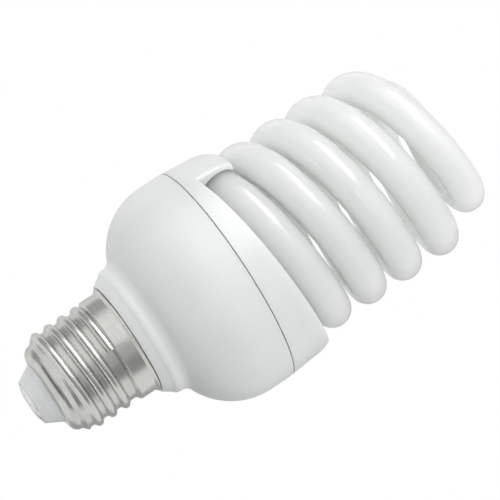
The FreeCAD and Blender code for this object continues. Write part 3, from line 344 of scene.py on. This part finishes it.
# finishes of the pieces inside the housing: two colours in a cloud, and a grain,
# with the sizes of cloud and grain and the grain's depth in millimetres
inside = {
    "tubeCement": {
        "nodes": ["tube_cement_1", "tube_cement_2"],
        "colours": ((0.80, 0.79, 0.75), (0.70, 0.69, 0.65)),
        "cloud": 1.6, "grain": 0.25, "depth": 0.05, "roughness": (0.75, 0.92)},
    "capacitorSleeve": {
        "nodes": ["electrolytic_capacitor"],
        "colours": ((0.050, 0.060, 0.100), (0.070, 0.080, 0.125)),
        "cloud": 4.0, "grain": 0.6, "depth": 0.006, "roughness": (0.26, 0.38)},
    "ferriteBody": {
        "nodes": ["choke_core_lower", "choke_core_upper", "filter_choke_core", "feedback_ring"],
        "colours": ((0.070, 0.070, 0.075), (0.105, 0.103, 0.105)),
        "cloud": 0.5, "grain": 0.12, "depth": 0.012, "roughness": (0.55, 0.72)},
    "blackMoulding": {
        "nodes": ["choke_bobbin", "transistor_1", "transistor_2", "rectifier_diode_1",
                  "rectifier_diode_2", "rectifier_diode_3", "rectifier_diode_4"],
        "colours": ((0.030, 0.030, 0.031), (0.050, 0.050, 0.052)),
        "cloud": 1.2, "grain": 0.10, "depth": 0.010, "roughness": (0.45, 0.62)},
    "resistorCoat": {
        "nodes": ["fuse_resistor", "resistor_1", "resistor_2"],
        "colours": ((0.56, 0.48, 0.36), (0.48, 0.40, 0.29)),
        "cloud": 1.0, "grain": 0.2, "depth": 0.012, "roughness": (0.34, 0.50)},
    "blueCoat": {
        "nodes": ["trigger_diode"],
        "colours": ((0.10, 0.18, 0.42), (0.07, 0.13, 0.34)),
        "cloud": 0.8, "grain": 0.2, "depth": 0.008, "roughness": (0.16, 0.28)},
    "filmCoat": {
        "nodes": ["resonant_capacitor", "coupling_capacitor"],
        "colours": ((0.45, 0.11, 0.07), (0.37, 0.08, 0.05)),
        "cloud": 1.5, "grain": 0.8, "depth": 0.05, "roughness": (0.22, 0.36)},
    "thermistorCoat": {
        "nodes": ["thermistor"],
        "colours": ((0.10, 0.28, 0.14), (0.07, 0.21, 0.10)),
        "cloud": 1.2, "grain": 0.5, "depth": 0.04, "roughness": (0.40, 0.60)},
    "redSleeve": {
        "nodes": ["live_wire"],
        "colours": ((0.50, 0.05, 0.04), (0.42, 0.04, 0.03)),
        "cloud": 3.0, "grain": 0.4, "depth": 0.01, "roughness": (0.40, 0.55)},
    "blueSleeve": {
        "nodes": ["neutral_wire"],
        "colours": ((0.06, 0.12, 0.40), (0.05, 0.09, 0.32)),
        "cloud": 3.0, "grain": 0.4, "depth": 0.01, "roughness": (0.40, 0.55)},
    "tinnedWire": {
        "nodes": ["wrap_pin_1", "wrap_pin_2", "wrap_pin_3", "wrap_pin_4", "electrode_lead_1",
                  "electrode_lead_2", "electrode_lead_3", "electrode_lead_4"],
        "colours": ((0.66, 0.66, 0.65), (0.52, 0.52, 0.51)),
        "cloud": 0.8, "grain": 0.3, "depth": 0.01, "roughness": (0.22, 0.42), "metal": 1.0},
}


def insideFinish(name, values):
    material, tree, shader, place = startFinish(name)
    cloud = clouds(tree, place, values["cloud"] * millimetre, 5.0, 0.33, 0.67)
    colour = mixColours(tree, cloud, *values["colours"])
    grain = noise(tree, place, values["grain"] * millimetre, 4.0)
    rough = remap(tree, grain, 0.3, 0.7, *values["roughness"])
    normal = bump(tree, grain, values["depth"] * millimetre)
    finishWith(tree, shader, colour, rough, normal, Metallic=values.get("metal", 0.0))
    return material


for finishName, finishValues in inside.items():
    dress(insideFinish(finishName, finishValues), *finishValues["nodes"])

# enamelled copper: turns side by side round the winding, with painted shade in the grooves
# between them
winding = {
    "colour": (0.62, 0.28, 0.13),
    # painted shade: the dark copper colour laid in the grooves between the turns
    "between": (0.16, 0.06, 0.03),
    "pitch": 0.32 * millimetre,
    "turnDepth": 0.08 * millimetre,
    "roughness": (0.18, 0.32),
    "loose": 1.5 * millimetre,
    "metal": 0.8,
}


def copperWire():
    material, tree, shader, place = startFinish("copperWire")
    phase = mathsOf(tree, "MULTIPLY", heightOf(tree, place), 2 * math.pi / winding["pitch"])
    turns = remap(tree, mathsOf(tree, "SINE", phase), -1.0, 1.0)
    loose = noise(tree, place, winding["loose"])
    outsidePaintedShade = remap(tree, turns, 0.0, 0.35)
    # painted shade: the grooves between the turns take the dark copper colour, the crests keep
    # the copper
    colour = mixColours(tree, outsidePaintedShade, winding["between"], winding["colour"])
    rough = remap(tree, loose, 0.3, 0.7, *winding["roughness"])
    normal = bump(tree, turns, winding["turnDepth"])
    finishWith(tree, shader, colour, rough, normal, Metallic=winding["metal"])
    return material


dress(copperWire(), "choke_winding", "filter_choke_winding", "feedback_winding_1",
      "feedback_winding_2", "feedback_winding_3")

# brown paper laminate: fibres in the face, darker cut edge
board = {
    "colour": (0.62, 0.47, 0.24),
    "fibre": (0.50, 0.36, 0.17),
    "fibreSize": 0.5 * millimetre,
    "fibreDepth": 0.015 * millimetre,
    "cutEdge": (0.36, 0.25, 0.12),
    "edgeRadius": 24.3 * millimetre,
    "edgeWidth": 0.1 * millimetre,
    "roughness": (0.48, 0.66),
}


def boardLaminate():
    material, tree, shader, place = startFinish("boardLaminate")
    fibres = noise(tree, place, board["fibreSize"], 6.0, (0.25, 1, 1))
    colour = mixColours(tree, remap(tree, fibres, 0.35, 0.65), board["colour"], board["fibre"])
    rim = remap(tree, acrossOf(tree, place),
                board["edgeRadius"] - board["edgeWidth"], board["edgeRadius"])
    colour = mixColours(tree, rim, colour, board["cutEdge"])
    rough = remap(tree, fibres, 0.3, 0.7, *board["roughness"])
    normal = bump(tree, fibres, board["fibreDepth"])
    finishWith(tree, shader, colour, rough, normal)
    return material


dress(boardLaminate(), "circuit_board")
print("inner pieces dressed")

# studio round the lamp: directions are turned about its axis from the camera's side,
# minus to the side where the mouths of the tube show first
studio = {
    "middle": (0.0, 0.0, 0.058),
    "lamps": {
        "softbox": {"turn": -50.0, "lift": 22.0, "away": 0.75, "size": (0.60, 0.95),
                    "watts": 2.1},
        "frontFill": {"turn": 24.0, "lift": 10.0, "away": 0.75, "size": (0.60, 0.60),
                      "watts": 1.66},
        "lowerFill": {"turn": -98.0, "lift": -50.0, "away": 0.75, "size": (0.60, 0.60),
                      "watts": 1.75},
        "underFill": {"turn": 25.0, "lift": -50.0, "away": 0.75, "size": (0.60, 0.60),
                      "watts": 0.45},
        "rearFill": {"turn": 150.0, "lift": 30.0, "away": 0.80, "size": (0.60, 0.60),
                     "watts": 1.1},
    },
    # what only the gloss sees: the lit window of the softbox and a weak one under it,
    # then grey walls round the lamp
    "cards": [
        {"turn": -42.0, "lift": 32.0, "away": 0.75, "size": (1.15, 0.44),
         "level": 6.2, "fade": 0.6},
        {"turn": -40.0, "lift": -6.0, "away": 0.75, "size": (1.15, 0.50),
         "level": 0.9, "fade": 0.4},
        {"turn": 18.0, "lift": -5.0, "away": 1.0, "size": (0.90, 2.0), "level": 0.55},
        {"turn": 50.0, "lift": -5.0, "away": 0.9, "size": (0.75, 2.0), "level": 0.34},
        {"turn": 152.0, "lift": -5.0, "away": 1.0, "size": (0.90, 2.0), "level": 0.45},
        {"turn": -100.0, "lift": -10.0, "away": 0.9, "size": (0.92, 2.2), "level": 0.45},
        {"turn": -15.0, "lift": -52.0, "away": 0.8, "size": (2.20, 0.95), "level": 0.13},
        {"turn": 180.0, "lift": 78.0, "away": 0.9, "size": (1.40, 1.0), "level": 0.60},
        {"turn": 180.0, "lift": 15.0, "away": 1.2, "size": (2.40, 2.0), "level": 0.74},
    ],
    "cardFade": 0.35,
    "fillLevel": 1.0,
    "ceilingLevel": 0.42,
    "ceilingStart": 0.2,
    "ceilingFull": 0.9,
    "floorHeight": -0.62,
    "floorSize": 6.0,
    "floorColour": (0.42, 0.42, 0.42, 1),
    "floorGlow": 0.68,
}
white = (1, 1, 1, 1)


def directionOf(turn, lift):
    around, above = math.radians(turn), math.radians(lift)
    return Vector((math.sin(around) * math.cos(above),
                   -math.cos(around) * math.cos(above),
                   math.sin(above)))


def facing(holder, values):
    # stands away from the middle of the lamp and looks back at it
    outward = directionOf(values["turn"], values["lift"])
    holder.location = Vector(studio["middle"]) + outward * values["away"]
    holder.rotation_euler = outward.to_track_quat("Z", "Y").to_euler()


def softLamp(name, values):
    lamp = bpy.data.lights.new(name, "AREA")
    lamp.shape = "RECTANGLE"
    lamp.size, lamp.size_y = values["size"]
    lamp.energy = values["watts"]
    holder = bpy.data.objects.new(name, lamp)
    bpy.context.scene.collection.objects.link(holder)
    facing(holder, values)
    holder.visible_camera = False
    holder.visible_glossy = False      # the cards stand in for the lamps in the gloss


def sheetMesh(name, width, depth):
    mesh = bpy.data.meshes.new(name)
    x, y = width / 2, depth / 2
    mesh.from_pydata([(-x, -y, 0), (x, -y, 0), (x, y, 0), (-x, y, 0)], [], [(0, 1, 2, 3)])
    holder = bpy.data.objects.new(name, mesh)
    bpy.context.scene.collection.objects.link(holder)
    return holder


def reflectionCard(index, values):
    # a soft-edged card that only the gloss of the lamp sees
    holder = sheetMesh(f"glossCard{index}", *values["size"])
    facing(holder, values)
    material = bpy.data.materials.new(f"glossCard{index}")
    material.use_nodes = True
    tree = material.node_tree
    tree.nodes.clear()
    glow = put(tree, "ShaderNodeEmission", {"Color": white, "Strength": values["level"]})
    clear = put(tree, "ShaderNodeBsdfTransparent")
    place = put(tree, "ShaderNodeTexCoord").outputs["Object"]
    split = put(tree, "ShaderNodeSeparateXYZ", {0: place})
    fade = values.get("fade", studio["cardFade"])
    fades = []
    for axis, length in zip("XY", values["size"]):
        fromMiddle = mathsOf(tree, "ABSOLUTE", split.outputs[axis])
        edge = put(tree, "ShaderNodeMapRange", {
            "Value": fromMiddle, "From Min": length / 2, "From Max": length / 2 * (1 - fade)},
            interpolation_type="SMOOTHSTEP")
        fades.append(edge.outputs[0])
    both = put(tree, "ShaderNodeMixShader", {
        0: mathsOf(tree, "MULTIPLY", *fades), 1: clear.outputs[0], 2: glow.outputs[0]})
    output = put(tree, "ShaderNodeOutputMaterial")
    tree.links.new(both.outputs[0], output.inputs["Surface"])
    holder.data.materials.append(material)
    holder.visible_camera = False
    holder.visible_diffuse = False
    holder.visible_transmission = False
    holder.visible_shadow = False


def paleFloor():
    holder = sheetMesh("paleFloor", studio["floorSize"], studio["floorSize"])
    holder.location = (0, 0, studio["floorHeight"])
    material = bpy.data.materials.new("paleFloor")
    material.use_nodes = True
    tree = material.node_tree
    tree.nodes.clear()
    seen = raysThatSee(tree)
    matt = put(tree, "ShaderNodeBsdfDiffuse", {"Color": studio["floorColour"]})
    glow = put(tree, "ShaderNodeEmission", {
        "Color": white, "Strength": mathsOf(tree, "MULTIPLY", seen, studio["floorGlow"])})
    both = put(tree, "ShaderNodeAddShader", {0: matt.outputs[0], 1: glow.outputs[0]})
    output = put(tree, "ShaderNodeOutputMaterial")
    tree.links.new(both.outputs[0], output.inputs["Surface"])
    holder.data.materials.append(material)


def raysThatSee(tree):
    # 1 for the camera's rays and for those that gloss and glass send on
    path = put(tree, "ShaderNodeLightPath").outputs
    seen = mathsOf(tree, "MAXIMUM", path["Is Camera Ray"], path["Is Glossy Ray"])
    return mathsOf(tree, "MAXIMUM", seen, path["Is Transmission Ray"])


def whiteSurround():
    world = bpy.data.worlds.new("whiteSurround")
    bpy.context.scene.world = world
    world.use_nodes = True
    tree = world.node_tree
    tree.nodes.clear()
    # the ceiling lights the tube less than the walls do, but looks as white as they do
    direction = put(tree, "ShaderNodeTexCoord").outputs["Generated"]
    fill = remap(tree, heightOf(tree, direction), studio["ceilingStart"], studio["ceilingFull"],
                 studio["fillLevel"], studio["ceilingLevel"])
    level = remap(tree, raysThatSee(tree), 0.0, 1.0, fill, 1.0)
    glow = put(tree, "ShaderNodeBackground", {"Color": white, "Strength": level})
    output = put(tree, "ShaderNodeOutputWorld")
    tree.links.new(glow.outputs[0], output.inputs["Surface"])


for lampName, lampValues in studio["lamps"].items():
    softLamp(lampName, lampValues)
for cardNumber, cardValues in enumerate(studio["cards"]):
    reflectionCard(cardNumber, cardValues)
paleFloor()
whiteSurround()
bpy.context.scene.view_settings.view_transform = "Standard"
print("studio lit")
